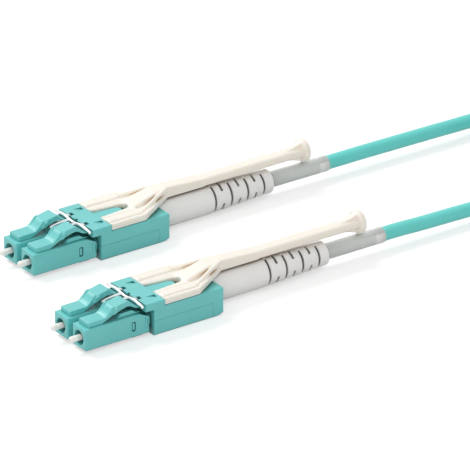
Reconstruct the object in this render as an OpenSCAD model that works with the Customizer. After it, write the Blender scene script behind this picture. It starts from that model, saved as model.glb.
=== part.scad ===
// Duplex LC patch cord: a single round cable with a two-fibre uniboot connector on each end.
// Each connector has two plugs with press-down latches, a formed wire across the latches,
// and a push-pull tab that runs back over the boot.
//
// Millimetres. +X runs from the ferrule tips to the cable, +Z is up and z = 0 is the table.
// Seen from the ferrule tips, left is +Y. The origin is under the middle of the two connectors.

/* [Plugs] */
// Width and height of a plug body
plug_w = 4.5; // [3.7:0.05:5.4]
// Spacing of the two ferrules
plug_pitch = 6.25; // [5.2:0.05:7.5]
// Length of a plug body
plug_len = 14.7; // [13.1:0.1:17.6]
// Height of the plug's underside over the table
plug_lift = 0.6; // [0.4:0.05:0.9]
// Radius along the long edges of a plug
plug_edge = 0.3; // [0.1:0.05:0.5]
// Chamfer round the front face of a plug
plug_chamfer = 0.2; // [0.1:0.05:0.4]
// Bore of the nose, which the adapter's sleeve enters
nose_bore = 3.0; // [2.4:0.05:3.1]
// Depth of the nose bore
nose_depth = 2.8; // [2:0.1:3.4]
// Thickness of the web that stops the ferrule
web_t = 0.8; // [0.5:0.05:1.2]

/* [Ferrules] */
// Diameter of a ferrule
ferrule_d = 1.25; // [1.05:0.01:1.5]
// Length of a ferrule in front of the plug's face
ferrule_out = 2.2; // [1.5:0.05:2.7]
// Travel of a ferrule against its spring
ferrule_travel = 0.9; // [0.4:0.05:1.2]
// Diameter of the ferrule's metal flange
flange_d = 2.9; // [2.3:0.05:3.0]
// Length of the flange's head
flange_len = 1.2; // [0.8:0.05:1.6]
// Wire of the ferrule's spring
spring_wire = 0.3; // [0.2:0.01:0.35]
// Turns of the ferrule's spring
spring_turns = 6; // [4:1:8]

/* [Latches] */
// Width of a latch
latch_w = 3.2; // [2.6:0.05:3.8]
// Thickness of a latch at its root
latch_t = 0.95; // [0.7:0.05:1.15]
// Length of the fixed root of a latch
latch_root = 3.3; // [2.7:0.1:4]
// Height of the latch's crest over the plug
latch_crest = 3.25; // [2.8:0.05:3.9]
// Reach of each catch beyond the latch's side
catch_out = 0.35; // [0.2:0.05:0.5]
// Drop of a latch at the wire when it is released
latch_drop = 0.8; // [0.5:0.05:0.9]

/* [Release wire] */
// Diameter of the release wire
wire_d = 0.8; // [0.6:0.05:0.95]
// Sideways place of the wire's two legs
wire_leg_y = 2.6; // [2.2:0.05:3]

/* [Housing] */
// Length of the housing behind its front face
housing_len = 16.1; // [14:0.1:19.5]
// Reach of the housing past each plug's side
housing_side = 0.725; // [0.5:0.025:1.2]
// Wall of the housing
housing_wall = 1.0; // [0.8:0.05:1.2]
// Reach of the roof over the plugs
roof_over = 1.9; // [1.6:0.05:2.3]
// Length of the roof before the tab
roof_len = 4.4; // [3.8:0.05:5]
// Height of the roof over the plugs
roof_rise = 2.0; // [1.8:0.05:2.4]
// Height of the ledge under the tab over the plugs
ledge_rise = 0.7; // [0.6:0.05:0.85]
// Height of the seam between the shells over the table
seam_z = 3.1; // [2.6:0.05:3.4]

/* [Pull tab] */
// Thickness of the tab's prongs
tab_t = 1.2; // [0.9:0.05:1.4]
// Length of the tab's prongs
prong_len = 8.2; // [7:0.1:9.5]
// Width of the gap between the prongs at the front
prong_gap = 3.6; // [3:0.1:4.2]
// Width of the tab's rod
rod_w = 2.9; // [2.4:0.05:3.4]
// Thickness of the tab's rod
rod_t = 1.8; // [1.4:0.05:2.2]
// Length of the tab from its prongs' tips to the back of its grip
tab_len = 50.5; // [44:0.1:53]
// Diameter of the tab's grip disc
grip_d = 4.8; // [4:0.05:5]
// Thickness of the tab's grip disc
grip_t = 1.4; // [1:0.05:2]
// Travel of the tab when it is pulled
tab_travel = 2.0; // [1.5:0.05:2.2]

/* [Boot and cable] */
// Diameter of the boot at the housing
boot_d = 6.3; // [5.6:0.05:6.4]
// Length of the boot before its slots
boot_plain = 12.8; // [11:0.1:15]
// Diameter of the boot at the cable
boot_end_d = 5.0; // [4.4:0.05:5.6]
// Length of the boot behind the housing
boot_len = 27.8; // [25:0.1:34]
// Number of slots in each side of the boot
boot_slots = 4; // [2:1:4]
// Spacing of the boot's side slots
slot_pitch = 4.0; // [3.0:0.05:4.8]
// Width of a slot in the boot
slot_w = 0.5; // [0.4:0.05:0.8]
// Roll of the slots about the boot's axis
slot_roll = 15; // [0:1:45]
// Diameter of the cable
cable_d = 2.9; // [2.4:0.05:3.2]
// Length of the clear sleeve over the label
sleeve_len = 14.3; // [12:0.1:17]
// Wall of the label and of the clear sleeve
wrap_t = 0.15; // [0.1:0.01:0.18]
// Diameter of a buffered fibre
fibre_d = 0.9; // [0.7:0.05:1]

/* [Layout] */
// How far the second connector lies towards -X of the first
end_stagger = 10.0; // [6:0.5:12]
// Spacing of the two connectors along Y
end_spacing = 33.0; // [24:0.1:40]

/* [Coil] */
// Diameter of the coil at the middle of its turns
coil_d = 32.4; // [30:0.1:36]
// Turns of the coil in each layer
coil_layer_turns = 3.5; // [2.5:1:4.5]
// Gap between the turns of the coil
coil_gap = 0.5; // [0.45:0.05:0.8]
// Thickness of the coil's tie
tie_t = 0.5; // [0.4:0.05:0.8]
// Width of the coil's tie
tie_w = 6.0; // [4:0.5:10]

/* [Hidden] */
$fn = 48;

// Colours
aqua = "#62BDB7";
cable_aqua = "#55C7C0";
ivory = "#F0EAE2";
steel = "#C9CCCE";
zirconia = "#F5F3EE";
paper = "#C6CBC8";
brass_tone = "#C8A860";

// Clearances
eps = 0.01;
press_gap = 0.01;
run_gap = 0.1;
slide_gap = 0.08;
wire_gap = 0.15;

// Heights
plug_top = plug_lift + plug_w;
ferrule_z = plug_lift + plug_w / 2;
roof_z = plug_top + roof_rise;
ledge_z = plug_top + ledge_rise;
over_z = plug_top + 0.4;
boot_z = boot_d / 2;
wire_z = roof_z + 0.1;

// Lengths from the plug's front face
chamber_x = nose_depth + web_t;
chamber_d = flange_d + 2 * run_gap + 0.2;
flange_x = chamber_x + run_gap;
flange_tube_d = 1.7;
flange_tube_len = 2.2;
flange_bore = fibre_d + 2 * run_gap;
ferrule_seat = flange_len - 0.3;
ferrule_taper = 0.06;
web_bore = min(ferrule_d + 1.15, flange_d - 0.4);
post_grip = 4.5;
post_x = plug_len - post_grip;
collar_len = 0.5;
housing_x = plug_len + collar_len + 2 * run_gap;
housing_end = housing_x + housing_len;
housing_half = plug_pitch / 2 + plug_w / 2 + housing_side;
cover_end = housing_end - 2.4;
roof_x = housing_x - roof_over;
ledge_x = roof_x + roof_len;
boot_end = housing_end + boot_len;
entry_end = boot_end + run_gap + sleeve_len;
wire_x = roof_x - 0.8;
leg_x = roof_x + wire_d / 2 + wire_gap;
hinge_x = 1.1 + latch_root + 0.15;
tail_x = roof_x - 0.3;
tail_top = wire_z - wire_d / 2 - wire_gap;
cable_start = housing_end - 9.2;

// Pull tab and the tongues that guide it
tab_x = ledge_x + 0.05;
tab_z = ledge_z + slide_gap;
prong_end = tab_x + prong_len;
slot_r = prong_gap / 3;
slot_x = prong_end - slot_r - 0.6;
guide_top = min(tab_z + tab_t - 0.45, roof_z);
throat_x = prong_end + 5.2;
shoulder_x = prong_end + 7.8;
rod_x = prong_end + 17;
tab_end = tab_x + tab_len;
tongue_y = 3.6;
tongue_w = 1.6;
tongue_t = 0.55;
tongue_len = tab_travel + 0.7;

// Boot, crimp and label
boot_neck_d = cable_d + 1.3;
boot_lip_d = boot_neck_d + 0.4;
boot_bore = cable_d + 0.3;
crimp_d = cable_d + 0.4;
neck_start = housing_end - 2.4;
label_d = cable_d + 2 * wrap_t;
sleeve_d = label_d + 2 * wrap_t;
slot_step = min(slot_pitch, (boot_len - boot_plain - 3) / max(boot_slots - 1, 1));

// The rod clears the boot, the housing's ledge and the sleeve under the grip
rod_low = max(boot_d + 0.35, tab_z + 0.6, boot_z + (sleeve_d + grip_d - rod_t) / 2 + 0.1);
rod_z = rod_low + rod_t / 2;

// Place of the two connectors, so that the origin is under the middle of their box
end_x = [(end_stagger + ferrule_out - entry_end) / 2, (ferrule_out - entry_end - end_stagger) / 2];
end_y = [end_spacing / 2, -end_spacing / 2];
end_a = 0;
end_b = 1;
left = 1;
right = -1;

// Route of the cable from each connector to the coil
lead_a_points = [
    [42.95, 16.5, 3.15], [46.2, 16.5, 3.15], [52, 16.5, 3.15], [58, 16.5, 3.1], [64, 16.5, 3.05],
    [70, 16.5, 3], [76, 16.6, 2.85], [82, 17.4, 2.5], [87, 19.1, 2.25], [92, 21.2, 2.15],
    [96.2, 22.15, 2.15], [99.1, 22.15, 2.15]
];
lead_b_points = [
    [32.95, -16.5, 3.15], [36.2, -16.5, 3.15], [42, -16.5, 2.95], [48, -16.5, 2.85],
    [54, -16.5, 2.7], [60, -16.6, 2.45], [66, -17, 2.05], [72, -17.8, 1.75], [78, -19, 1.95],
    [84, -20.5, 3], [90, -21.8, 4.7], [96, -22.15, 5.55], [99.1, -22.15, 5.55]
];

// Coil, wound clockwise from its far side: in on the table, up a layer, and out again
coil_centre = [102, 0];
coil_pitch = cable_d + coil_gap;
coil_out = coil_d / 2 + coil_pitch * coil_layer_turns / 2;
coil_in = coil_out - coil_pitch * coil_layer_turns;
coil_turns = 2 * coil_layer_turns + 0.5;
coil_rings = 24;
coil_sides = 6;
coil_z = [tie_t + 0.2 + cable_d / 2, tie_t + 0.2 + cable_d / 2 + coil_pitch];
coil_dip = 0.44;

// ---- Vectors, tubes and outlines ----

function unit(v) = v / norm(v);

// 0 to 1 with a level start and end
function ease(t) = t * t * (3 - 2 * t);

// Moves a route with its ends: two points at each end keep their direction
function carried(p, start, finish) =
    let (n = len(p) - 1)
        [for (i = [0:n])
            let (w = min(max((i - 1) / (n - 2), 0), 1))
                p[i] + (1 - w) * (start - p[0]) + w * (finish - p[n])];

function tangent(p, i) = unit(p[min(i + 1, len(p) - 1)] - p[max(i - 1, 0)]);

// Rings of a tube along the points p; up is a direction that the tube never runs along
function tube_rings(p, d, sides, up) = [
    for (i = [0:len(p) - 1])
        let (t = tangent(p, i), side = unit(cross(t, up)), rise = cross(side, t))
            for (k = [0:sides - 1])
                p[i] + d / 2 * (cos(360 * k / sides) * side + sin(360 * k / sides) * rise)
];

function tube_faces(rings, sides) = concat(
    [for (k = [1:sides - 2]) [0, k + 1, k]],
    [for (k = [1:sides - 2]) [0, k, k + 1] + (rings - 1) * sides * [1, 1, 1]],
    [for (i = [0:rings - 2], k = [0:sides - 1], half = [0, 1])
        let (a = i * sides + k, b = i * sides + (k + 1) % sides)
            half == 0 ? [a, b, b + sides] : [a, b + sides, a + sides]]
);

module tube(p, d, sides = 8, up = [0, 0, 1]) {
    polyhedron(points = tube_rings(p, d, sides, up), faces = tube_faces(len(p), sides), convexity = 8);
}

// A rectangle with true round corners, centred
module rounded_rect(w, h, r) {
    square([w, h - 2 * r], center = true);
    square([w - 2 * r, h], center = true);
    for (x = [-1, 1], y = [-1, 1])
        translate([x * (w / 2 - r), y * (h / 2 - r)])
            circle(r = r);
}

// Extrudes a shape drawn in Y and Z from x0 to x1
module along_x(x0, x1) {
    translate([x0, 0, 0])
        rotate([90, 0, 90])
            linear_extrude(x1 - x0)
                children();
}

// Extrudes a shape drawn in X and Z over a width, centred on y
module across_y(y, w) {
    translate([0, y + w / 2, 0])
        rotate([90, 0, 0])
            linear_extrude(w)
                children();
}

// A bar along X with round edges, centred on y and z
module bar(x0, x1, w, h, r, y = 0, z = 0) {
    translate([0, y, z])
        along_x(x0, x1)
            rounded_rect(w, h, r);
}

// A plain block between two corners
module block(low, high) {
    translate(low)
        cube(high - low);
}

// A round rod along X
module rod(x0, x1, d, y = 0, z = 0) {
    translate([x0, y, z])
        rotate([0, 90, 0])
            cylinder(h = x1 - x0, d = d);
}

// Places a piece of one connector
module at_end(end) {
    translate([end_x[end], end_y[end], 0])
        children();
}

// Places a piece on the axis of one ferrule
module at_plug(end, side) {
    at_end(end)
        translate([0, side * plug_pitch / 2, 0])
            children();
}

// ---- Plugs and latches ----

module plug_bores() {
    rod(-1, nose_depth, nose_bore, z = ferrule_z);
    rod(nose_depth - eps, chamber_x + eps, web_bore, z = ferrule_z);
    rod(chamber_x, plug_len + 1, chamber_d, z = ferrule_z);
}

// The chamfer round the plug's front face
module nose_chamfer() {
    for (turn = [0, 90, 180, 270])
        translate([0, 0, ferrule_z])
            rotate([turn, 0, 0])
                translate([0, 0, plug_w / 2])
                    rotate([0, 45, 0])
                        cube([plug_chamfer * sqrt(2), plug_w + 2, plug_chamfer * sqrt(2)], center = true);
}

// The low rib under the latch, which keeps the plug's top stiff
module latch_rib() {
    rib_h = 0.85;
    across_y(0, latch_w - 0.6)
        polygon([
            [hinge_x + 3.1, plug_top - 0.2], [hinge_x + 3.9, plug_top + rib_h],
            [tail_x - 2.3, plug_top + rib_h], [tail_x - 1.5, plug_top - 0.2]
        ]);
}

module plug(end, side) {
    window = [post_x + 0.5, post_x + 1.4];
    color(aqua)
        at_plug(end, side)
            difference() {
                union() {
                    bar(0, plug_len, plug_w, plug_w, plug_edge, z = ferrule_z);
                    bar(1.1, hinge_x - 0.15, latch_w, latch_t + 0.5, 0.2, z = plug_top + latch_t / 2 - 0.25);
                    latch_rib();
                    // Small foot at the rear of the underside
                    bar(plug_len - 3.7, plug_len - 1.5, plug_w - 0.6, 0.8, 0.15, z = plug_lift + 0.2);
                }
                nose_chamfer();
                plug_bores();
                // Windows that the back post's barbs snap into
                for (y = [-1, 1])
                    translate([(window[0] + window[1]) / 2, y * plug_w / 2, ferrule_z])
                        rotate([90, 0, 0])
                            linear_extrude(plug_w / 2, center = true)
                                rounded_rect(window[1] - window[0], 2, 0.3);
                // Shallow marks of the mould's slide
                for (y = [-1, 1])
                    block([plug_len - 0.5, y * plug_w / 2 - 0.08, ferrule_z - 0.8],
                        [plug_len - 0.25, y * plug_w / 2 + 0.08, ferrule_z + 0.8]);
                // Slope that clears the housing's roof
                across_y(0, plug_w + 1)
                    polygon([
                        [plug_len - 2.2, plug_top + eps], [plug_len + 0.4, plug_top - 1.15],
                        [plug_len + 1, plug_top + 1], [plug_len - 2.2, plug_top + 1]
                    ]);
            }
}

// Side view of the latch's moving arm
module latch_outline() {
    crest = plug_top + latch_crest;
    offset(r = 0.15)
        offset(r = -0.15)
            polygon([
                [hinge_x, plug_top + 0.15], [hinge_x, plug_top + latch_t],
                [hinge_x + 1.3, plug_top + latch_t + 0.05], [hinge_x + 1.75, plug_top + latch_t + 0.3],
                [hinge_x + 2.55, crest - 0.8], [hinge_x + 3.3, crest - 0.4],
                [wire_x - 2.6, crest], [wire_x - 2.2, crest - 0.1],
                [wire_x - 0.6, tail_top + 0.25], [wire_x - 0.2, tail_top],
                [tail_x, tail_top], [tail_x, tail_top - 0.5], [wire_x - 0.6, tail_top - 0.4],
                [wire_x - 1.8, crest - 1.3], [wire_x - 2.7, crest - 1.15],
                [hinge_x + 3.4, crest - 1.4], [hinge_x + 2, plug_top + 0.95],
                [hinge_x + 1, plug_top + 0.3], [hinge_x + 0.4, plug_top + 0.15]
            ]);
}

// Rim along each side of the latch's ramp
module latch_rim_outline() {
    crest = plug_top + latch_crest;
    offset(r = 0.1)
        offset(r = -0.1)
            polygon([
                [hinge_x + 1.2, plug_top + latch_t - 0.3], [hinge_x + 1.6, plug_top + latch_t + 0.5],
                [hinge_x + 2.45, crest - 0.4], [hinge_x + 2.95, crest - 0.15],
                [hinge_x + 3.3, crest - 0.8], [hinge_x + 2.4, crest - 1.4]
            ]);
}

module latch(end, side) {
    rim_w = 0.45;
    color(aqua)
        at_plug(end, side) {
            across_y(0, latch_w)
                latch_outline();
            for (y = [-1, 1])
                across_y(y * (latch_w - rim_w) / 2, rim_w)
                    latch_rim_outline();
            // Catches that hold the plug in its adapter
            for (y = [-1, 1])
                across_y(y * (latch_w + catch_out) / 2 - y * eps, catch_out + 2 * eps)
                    polygon([
                        [hinge_x + 1.7, plug_top + latch_crest - 1.75],
                        [hinge_x + 2.5, plug_top + latch_crest - 0.5],
                        [hinge_x + 3.3, plug_top + latch_crest - 0.45],
                        [hinge_x + 3.4, plug_top + latch_crest - 1.1]
                    ]);
        }
}

// ---- Ferrules, springs and back posts ----

module ferrule(end, side) {
    tip = 0.2;
    color(zirconia)
        at_plug(end, side)
            translate([-ferrule_out, 0, ferrule_z])
                rotate([0, 90, 0])
                    rotate_extrude()
                        polygon([
                            [0, 0], [ferrule_d / 2 - tip, 0], [ferrule_d / 2, tip],
                            [ferrule_d / 2, ferrule_out + flange_x],
                            [ferrule_d / 2 - ferrule_taper, ferrule_out + flange_x + ferrule_seat],
                            [0, ferrule_out + flange_x + ferrule_seat]
                        ]);
}

module flange(end, side) {
    seat_r = ferrule_d / 2 + press_gap;
    tube_end = flange_len + flange_tube_len;
    color(steel)
        at_plug(end, side)
            translate([flange_x, 0, ferrule_z])
                rotate([0, 90, 0])
                    rotate_extrude()
                        polygon([
                            [seat_r, 0], [flange_d / 2 - 0.2, 0], [flange_d / 2, 0.2],
                            [flange_d / 2, flange_len], [flange_tube_d / 2, flange_len],
                            [flange_tube_d / 2, tube_end], [flange_bore / 2, tube_end],
                            [flange_bore / 2, ferrule_seat], [seat_r - ferrule_taper, ferrule_seat]
                        ]);
}

// Centre line of the ferrule's spring between the flange and the back post
function spring_line(turns) =
    let (x0 = flange_x + flange_len + spring_wire / 2, x1 = post_x - spring_wire / 2,
         r = (flange_tube_d + spring_wire) / 2 + run_gap, rings = 8)
        [for (i = [0:turns * rings])
            [x0 + (x1 - x0) * i / (turns * rings),
             r * cos(360 * i / rings), ferrule_z + r * sin(360 * i / rings)]];

module spring(end, side) {
    color(steel)
        at_plug(end, side)
            tube(spring_line(spring_turns), spring_wire - 0.02, 6, [1, 0, 0]);
}

module back_post(end, side) {
    collar_x = plug_len + run_gap;
    lock_x = housing_x + housing_wall + run_gap;
    barb = [post_x + 0.68, post_x + 1.22];
    color(aqua)
        at_plug(end, side)
            difference() {
                union() {
                    rod(post_x, collar_x + eps, chamber_d - run_gap, z = ferrule_z);
                    rod(collar_x, collar_x + collar_len, 3.6, z = ferrule_z);
                    rod(collar_x, lock_x + eps, 2.4, z = ferrule_z);
                    rod(lock_x, lock_x + 0.8, 3.2, z = ferrule_z);
                    rod(lock_x, lock_x + 2.6, 1.9, z = ferrule_z);
                    // Barbs in the plug's windows
                    block([barb[0], -plug_w / 2 + 0.1, ferrule_z - 0.75],
                        [barb[1], plug_w / 2 - 0.1, ferrule_z + 0.75]);
                }
                rod(post_x - 1, lock_x + 4, flange_bore, z = ferrule_z);
            }
}

// ---- Housing ----

// Plan of the tongue, which follows the slot between the prongs
module guide_plan() {
    half = prong_gap / 2 - 0.17;
    polygon([
        [ledge_x - 0.3, -half], [slot_x - 1.4, -slot_r], [slot_x - 1.4, slot_r], [ledge_x - 0.3, half]
    ]);
    translate([slot_x - 1.4, 0])
        circle(r = slot_r);
}

// Outside of both shells together
module housing_outside() {
    full_w = 2 * housing_half;
    bar(housing_x, housing_end, full_w, ledge_z, 0.3, z = ledge_z / 2);
    bar(roof_x, ledge_x, full_w, roof_z - over_z, 0.15, z = (roof_z + over_z) / 2);
    block([housing_x, -housing_half, over_z - 0.6], [ledge_x, housing_half, roof_z - 0.6]);
    // Tongue that guides the prongs
    translate([0, 0, ledge_z - 0.3])
        linear_extrude(guide_top - ledge_z + 0.3)
            guide_plan();
}

// The room of the lower shell, cut from the upper one
module cover_room(gap) {
    block([housing_x - 1, -housing_half - 1, -1], [cover_end + gap, housing_half + 1, seam_z + gap]);
}

// Everything inside the housing: the cavity, the back posts' holes and the boot's seat
module housing_inside() {
    inner = housing_x + housing_wall;
    half = housing_half - housing_wall;
    top = max(ledge_z - 0.9, boot_z + crimp_d / 2 + run_gap);
    block([inner, -half, housing_wall - 0.2], [cover_end - 0.8, half, top]);
    for (side = [left, right])
        rod(housing_x - 1, inner + 1, 2.4 + 2 * run_gap, side * plug_pitch / 2, ferrule_z);
    rod(cover_end - 2, housing_end - 1.2, boot_lip_d + 2 * run_gap, z = boot_z);
    rod(housing_end - 2, housing_end + 1, boot_neck_d + 2 * run_gap, z = boot_z);
}

// Notches for the wire, ramps before the prongs and tunnels for the tab's tongues
module roof_cuts() {
    notch_w = wire_d + 2 * wire_gap;
    for (side = [left, right]) {
        block([roof_x - 1, side * wire_leg_y - notch_w / 2, over_z - 1],
            [leg_x + wire_d / 2 + wire_gap, side * wire_leg_y + notch_w / 2, roof_z + 1]);
        across_y(side * tongue_y, 1.1)
            polygon([[ledge_x - 2.4, roof_z + eps], [ledge_x - 0.5, roof_z - 0.35],
                [ledge_x - 0.5, roof_z + eps]]);
        block([ledge_x - tongue_len - 0.15, side * tongue_y - tongue_w / 2 - slide_gap, ledge_z],
            [ledge_x + 1, side * tongue_y + tongue_w / 2 + slide_gap, ledge_z + tongue_t + 2 * slide_gap]);
    }
    block([roof_x - 1, -0.35, roof_z - 0.7], [roof_x + 0.45, 0.35, roof_z + 1]);
}

module housing_top(end) {
    color(aqua)
        at_end(end)
            difference() {
                housing_outside();
                cover_room(0.03);
                housing_inside();
                roof_cuts();
                // Rounded rear edge of the underside
                across_y(0, 2 * housing_half + 1)
                    polygon([
                        [cover_end - 1, -1], [cover_end + 0.2, 0], [housing_end - 0.9, 0.2],
                        [housing_end, 0.6], [housing_end + 1, 0.6], [housing_end + 1, -1]
                    ]);
            }
}

module housing_bottom(end) {
    color(aqua)
        at_end(end)
            difference() {
                intersection() {
                    housing_outside();
                    cover_room(0);
                }
                housing_inside();
            }
}

// ---- Release wire and pull tab ----

module release_wire(end) {
    reach = housing_half - wire_d / 2 + 0.1;
    leg_low = over_z + 0.1;
    // Distance from the middle and height of each bend of the bar's dip
    dip = [[0, -0.35], [0.9, -0.3], [1.7, 0]];
    color(steel)
        at_end(end)
            for (side = [left, right]) {
                for (i = [0:1])
                    hull()
                        for (bend = [dip[i], dip[i + 1]])
                            translate([wire_x, side * bend[0], wire_z + bend[1]])
                                sphere(d = wire_d, $fn = 16);
                // Straight outer stretch with a round end
                translate([wire_x, side * 1.7, wire_z])
                    rotate([side * -90, 0, 0])
                        cylinder(h = reach - 1.7, d = wire_d);
                translate([wire_x, side * reach, wire_z])
                    sphere(d = wire_d);
                // Leg back into its notch in the roof, and down
                rod(wire_x, leg_x, wire_d, side * wire_leg_y, wire_z);
                translate([leg_x, side * wire_leg_y, wire_z])
                    sphere(d = wire_d);
                translate([leg_x, side * wire_leg_y, leg_low])
                    cylinder(h = wire_z - leg_low, d = wire_d);
            }
}

// Plan of the two prongs, with the tapered slot between them
module prong_plan() {
    difference() {
        translate([tab_x, -housing_half])
            square([prong_len, 2 * housing_half]);
        polygon([
            [tab_x - 1, -prong_gap / 2 - 0.1], [slot_x, -slot_r],
            [slot_x, slot_r], [tab_x - 1, prong_gap / 2 + 0.1]
        ]);
        translate([slot_x, 0])
            circle(r = slot_r);
    }
}

// A thin cross-section of the tab, as a step of its sweep up to the rod
module tab_slice(x, w, z0, z1) {
    bar(x, x + 0.02, w, z1 - z0, min(0.3, (z1 - z0) / 2 - 0.01), z = (z0 + z1) / 2);
}

// The prongs draw together and rise to the rod over the boot
module tab_throat() {
    high = rod_low + rod_t;
    ridge_y = housing_half - 0.37;
    // Spine that rises from the slot's end to the rod's shoulder, and the shoulder's slope
    hull() {
        tab_slice(prong_end - 0.62, prong_gap + 0.5, tab_z, tab_z + tab_t + 0.2);
        tab_slice(throat_x, rod_w + 0.4, rod_low + 0.3, high + 0.3);
    }
    hull() {
        tab_slice(throat_x, rod_w + 0.4, rod_low + 0.3, high + 0.3);
        tab_slice(shoulder_x, rod_w, rod_low, high + 0.6);
    }
    hull() {
        tab_slice(shoulder_x, rod_w, rod_low, high + 0.6);
        tab_slice(rod_x, rod_w, rod_low, high);
    }
    // Thin web on both sides of the spine, which clears the boot when the tab is pulled
    hull() {
        tab_slice(prong_end - 0.02, 2 * ridge_y, tab_z, tab_z + tab_t - 0.25);
        tab_slice(throat_x, rod_w + 2.4, rod_low + 0.15, rod_low + 0.75);
    }
    hull() {
        tab_slice(throat_x, rod_w + 2.4, rod_low + 0.15, rod_low + 0.75);
        tab_slice(shoulder_x, rod_w - 0.2, rod_low + 0.05, rod_low + 0.75);
    }
    // Struts that carry the outer ridges on to the rod
    for (side = [left, right])
        hull() {
            bar(prong_end - 0.3, prong_end, 0.7, tab_t + 0.2, 0.15, side * ridge_y,
                tab_z + tab_t / 2 + 0.1);
            bar(shoulder_x, shoulder_x + 0.3, 0.7, 0.9, 0.15, side * (rod_w / 2 - 0.3), rod_low + 0.45);
        }
}

// Height of the grip's web over the rod at t of its length
function flare(t) = (grip_d / 2 - 0.35 - rod_t / 2) * pow(t, 2.6);

// Webs over and under the rod that hollow out to the grip disc, and a fillet round the rod
module grip_flare() {
    flare_len = 7;
    flare_x = tab_end - grip_t - flare_len;
    fillet = 1.2;
    steps = 8;
    across_y(0, 1.3)
        polygon(concat(
            [for (i = [0:steps])
                [flare_x + flare_len * i / steps, rod_z + rod_t / 2 + flare(i / steps)]],
            [for (i = [steps:-1:0])
                [flare_x + flare_len * i / steps, rod_z - rod_t / 2 - flare(i / steps)]]
        ));
    translate([tab_end - grip_t - fillet, 0, rod_z])
        rotate([0, 90, 0])
            rotate_extrude()
                polygon([
                    [0, 0], [rod_t / 2, 0], [rod_t / 2 + 0.15, fillet * 0.5],
                    [grip_d / 2 - 1.1, fillet * 0.85], [grip_d / 2 - 0.6, fillet + 0.1],
                    [0, fillet + 0.1]
                ]);
}

module pull_tab(end) {
    color(ivory)
        at_end(end) {
            translate([0, 0, tab_z])
                linear_extrude(tab_t)
                    prong_plan();
            for (side = [left, right]) {
                // Ridges along each prong
                for (y = [prong_gap / 2 + 0.5, housing_half - 0.37])
                    bar(tab_x, prong_end, 0.7, 0.6, 0.15, side * y, tab_z + tab_t - 0.17);
                // Tongue that slides under the roof
                block([ledge_x - tongue_len + 0.1, side * tongue_y - tongue_w / 2, tab_z],
                    [tab_x + eps, side * tongue_y + tongue_w / 2, tab_z + tongue_t]);
            }
            tab_throat();
            bar(rod_x, tab_end - grip_t / 2, rod_w, rod_t, 0.6, z = rod_z);
            grip_flare();
            translate([tab_end - grip_t, 0, rod_z])
                rotate([0, 90, 0])
                    rotate_extrude()
                        polygon([
                            [0, 0], [grip_d / 2 - 0.3, 0], [grip_d / 2, 0.3],
                            [grip_d / 2, grip_t - 0.3], [grip_d / 2 - 0.3, grip_t], [0, grip_t]
                        ]);
        }
}

// ---- Boot, label and cable entry ----

// A wedge-shaped cut across the boot's wall; mid is its direction in the Y-Z plane
module boot_slot(x, mid, spread) {
    reach = boot_d;
    along_x(x, x + slot_w)
        translate([0, boot_z])
            polygon(concat([[0, 0]], [for (a = [-1:0.5:1])
                reach * [cos(mid + a * spread / 2), sin(mid + a * spread / 2)]]));
}

module boot(end) {
    first_slot = housing_end + boot_plain + 0.4;
    color(ivory)
        at_end(end)
            difference() {
                translate([0, 0, boot_z])
                    rotate([0, 90, 0])
                        rotate_extrude()
                            polygon([
                                [crimp_d / 2 + 0.05, neck_start], [boot_lip_d / 2, neck_start],
                                [boot_lip_d / 2, housing_end - 1.2 - run_gap],
                                [boot_neck_d / 2, housing_end - 1.2 - run_gap],
                                [boot_neck_d / 2, housing_end + 0.02], [boot_d / 2 - 0.2, housing_end + 0.02],
                                [boot_d / 2, housing_end + 0.22], [boot_d / 2 - 0.1, housing_end + boot_plain],
                                [boot_end_d / 2 + 0.05, boot_end - 2.6], [boot_end_d / 2, boot_end - 0.12],
                                [boot_end_d / 2 - 0.12, boot_end], [boot_bore / 2, boot_end],
                                [boot_bore / 2, housing_end + 1], [crimp_d / 2 + 0.05, housing_end + 1]
                            ]);
                for (i = [0:boot_slots - 1], mid = [0, 180])
                    boot_slot(first_slot + i * slot_step, mid - slot_roll, 128);
                for (i = [0:boot_slots - 2], mid = [90, 270])
                    boot_slot(first_slot + (i + 0.5) * slot_step, mid - slot_roll, 128);
            }
}

// A sleeve round the cable
module wrap(x0, x1, inner_d, outer_d) {
    difference() {
        rod(x0, x1, outer_d, z = boot_z);
        rod(x0 - 1, x1 + 1, inner_d, z = boot_z);
    }
}

module crimp_ring(end) {
    color(brass_tone)
        at_end(end)
            wrap(cable_start + 1.2, housing_end + 0.6, cable_d + 2 * press_gap, crimp_d);
}

module label(end) {
    color(paper)
        at_end(end)
            wrap(boot_end + run_gap + 0.1, entry_end - 0.3, cable_d + 2 * press_gap, label_d);
}

module label_sleeve(end) {
    color("#DDE3E1", 0.6)
        at_end(end)
            wrap(boot_end + run_gap, entry_end, label_d + 2 * press_gap, sleeve_d);
}

module cable_entry(end) {
    color(cable_aqua)
        at_end(end)
            rod(cable_start, entry_end, cable_d, z = boot_z);
}

// Buffered fibre from the back of the flange, through the back post, to the cable
module fibre(end, side) {
    from = [flange_x + ferrule_seat + ferrule_travel + 0.1, side * plug_pitch / 2, ferrule_z];
    to = [cable_start, side * cable_d / 5, boot_z];
    bend0 = housing_x + housing_wall + 3.6;
    color("#D8E8F0")
        at_end(end)
            tube(concat(
                [from, [bend0 - 0.4, from[1], from[2]]],
                [for (t = [0.15:0.15:0.9])
                    [bend0 + (to[0] - 0.4 - bend0) * t, from[1] + (to[1] - from[1]) * ease(t),
                     from[2] + (to[2] - from[2]) * ease(t)]],
                [[to[0] - 0.3, to[1], to[2]], to]), fibre_d, 8);
}

// ---- Cable between the connectors ----

// Radius and height of the coil's centre line after u turns
function coil_radius(u) =
    u < coil_layer_turns ? coil_out - coil_pitch * u
    : u > coil_layer_turns + 0.5 ? coil_in + coil_pitch * (u - coil_layer_turns - 0.5)
    : coil_in - coil_dip * sin(360 * (u - coil_layer_turns));

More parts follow.
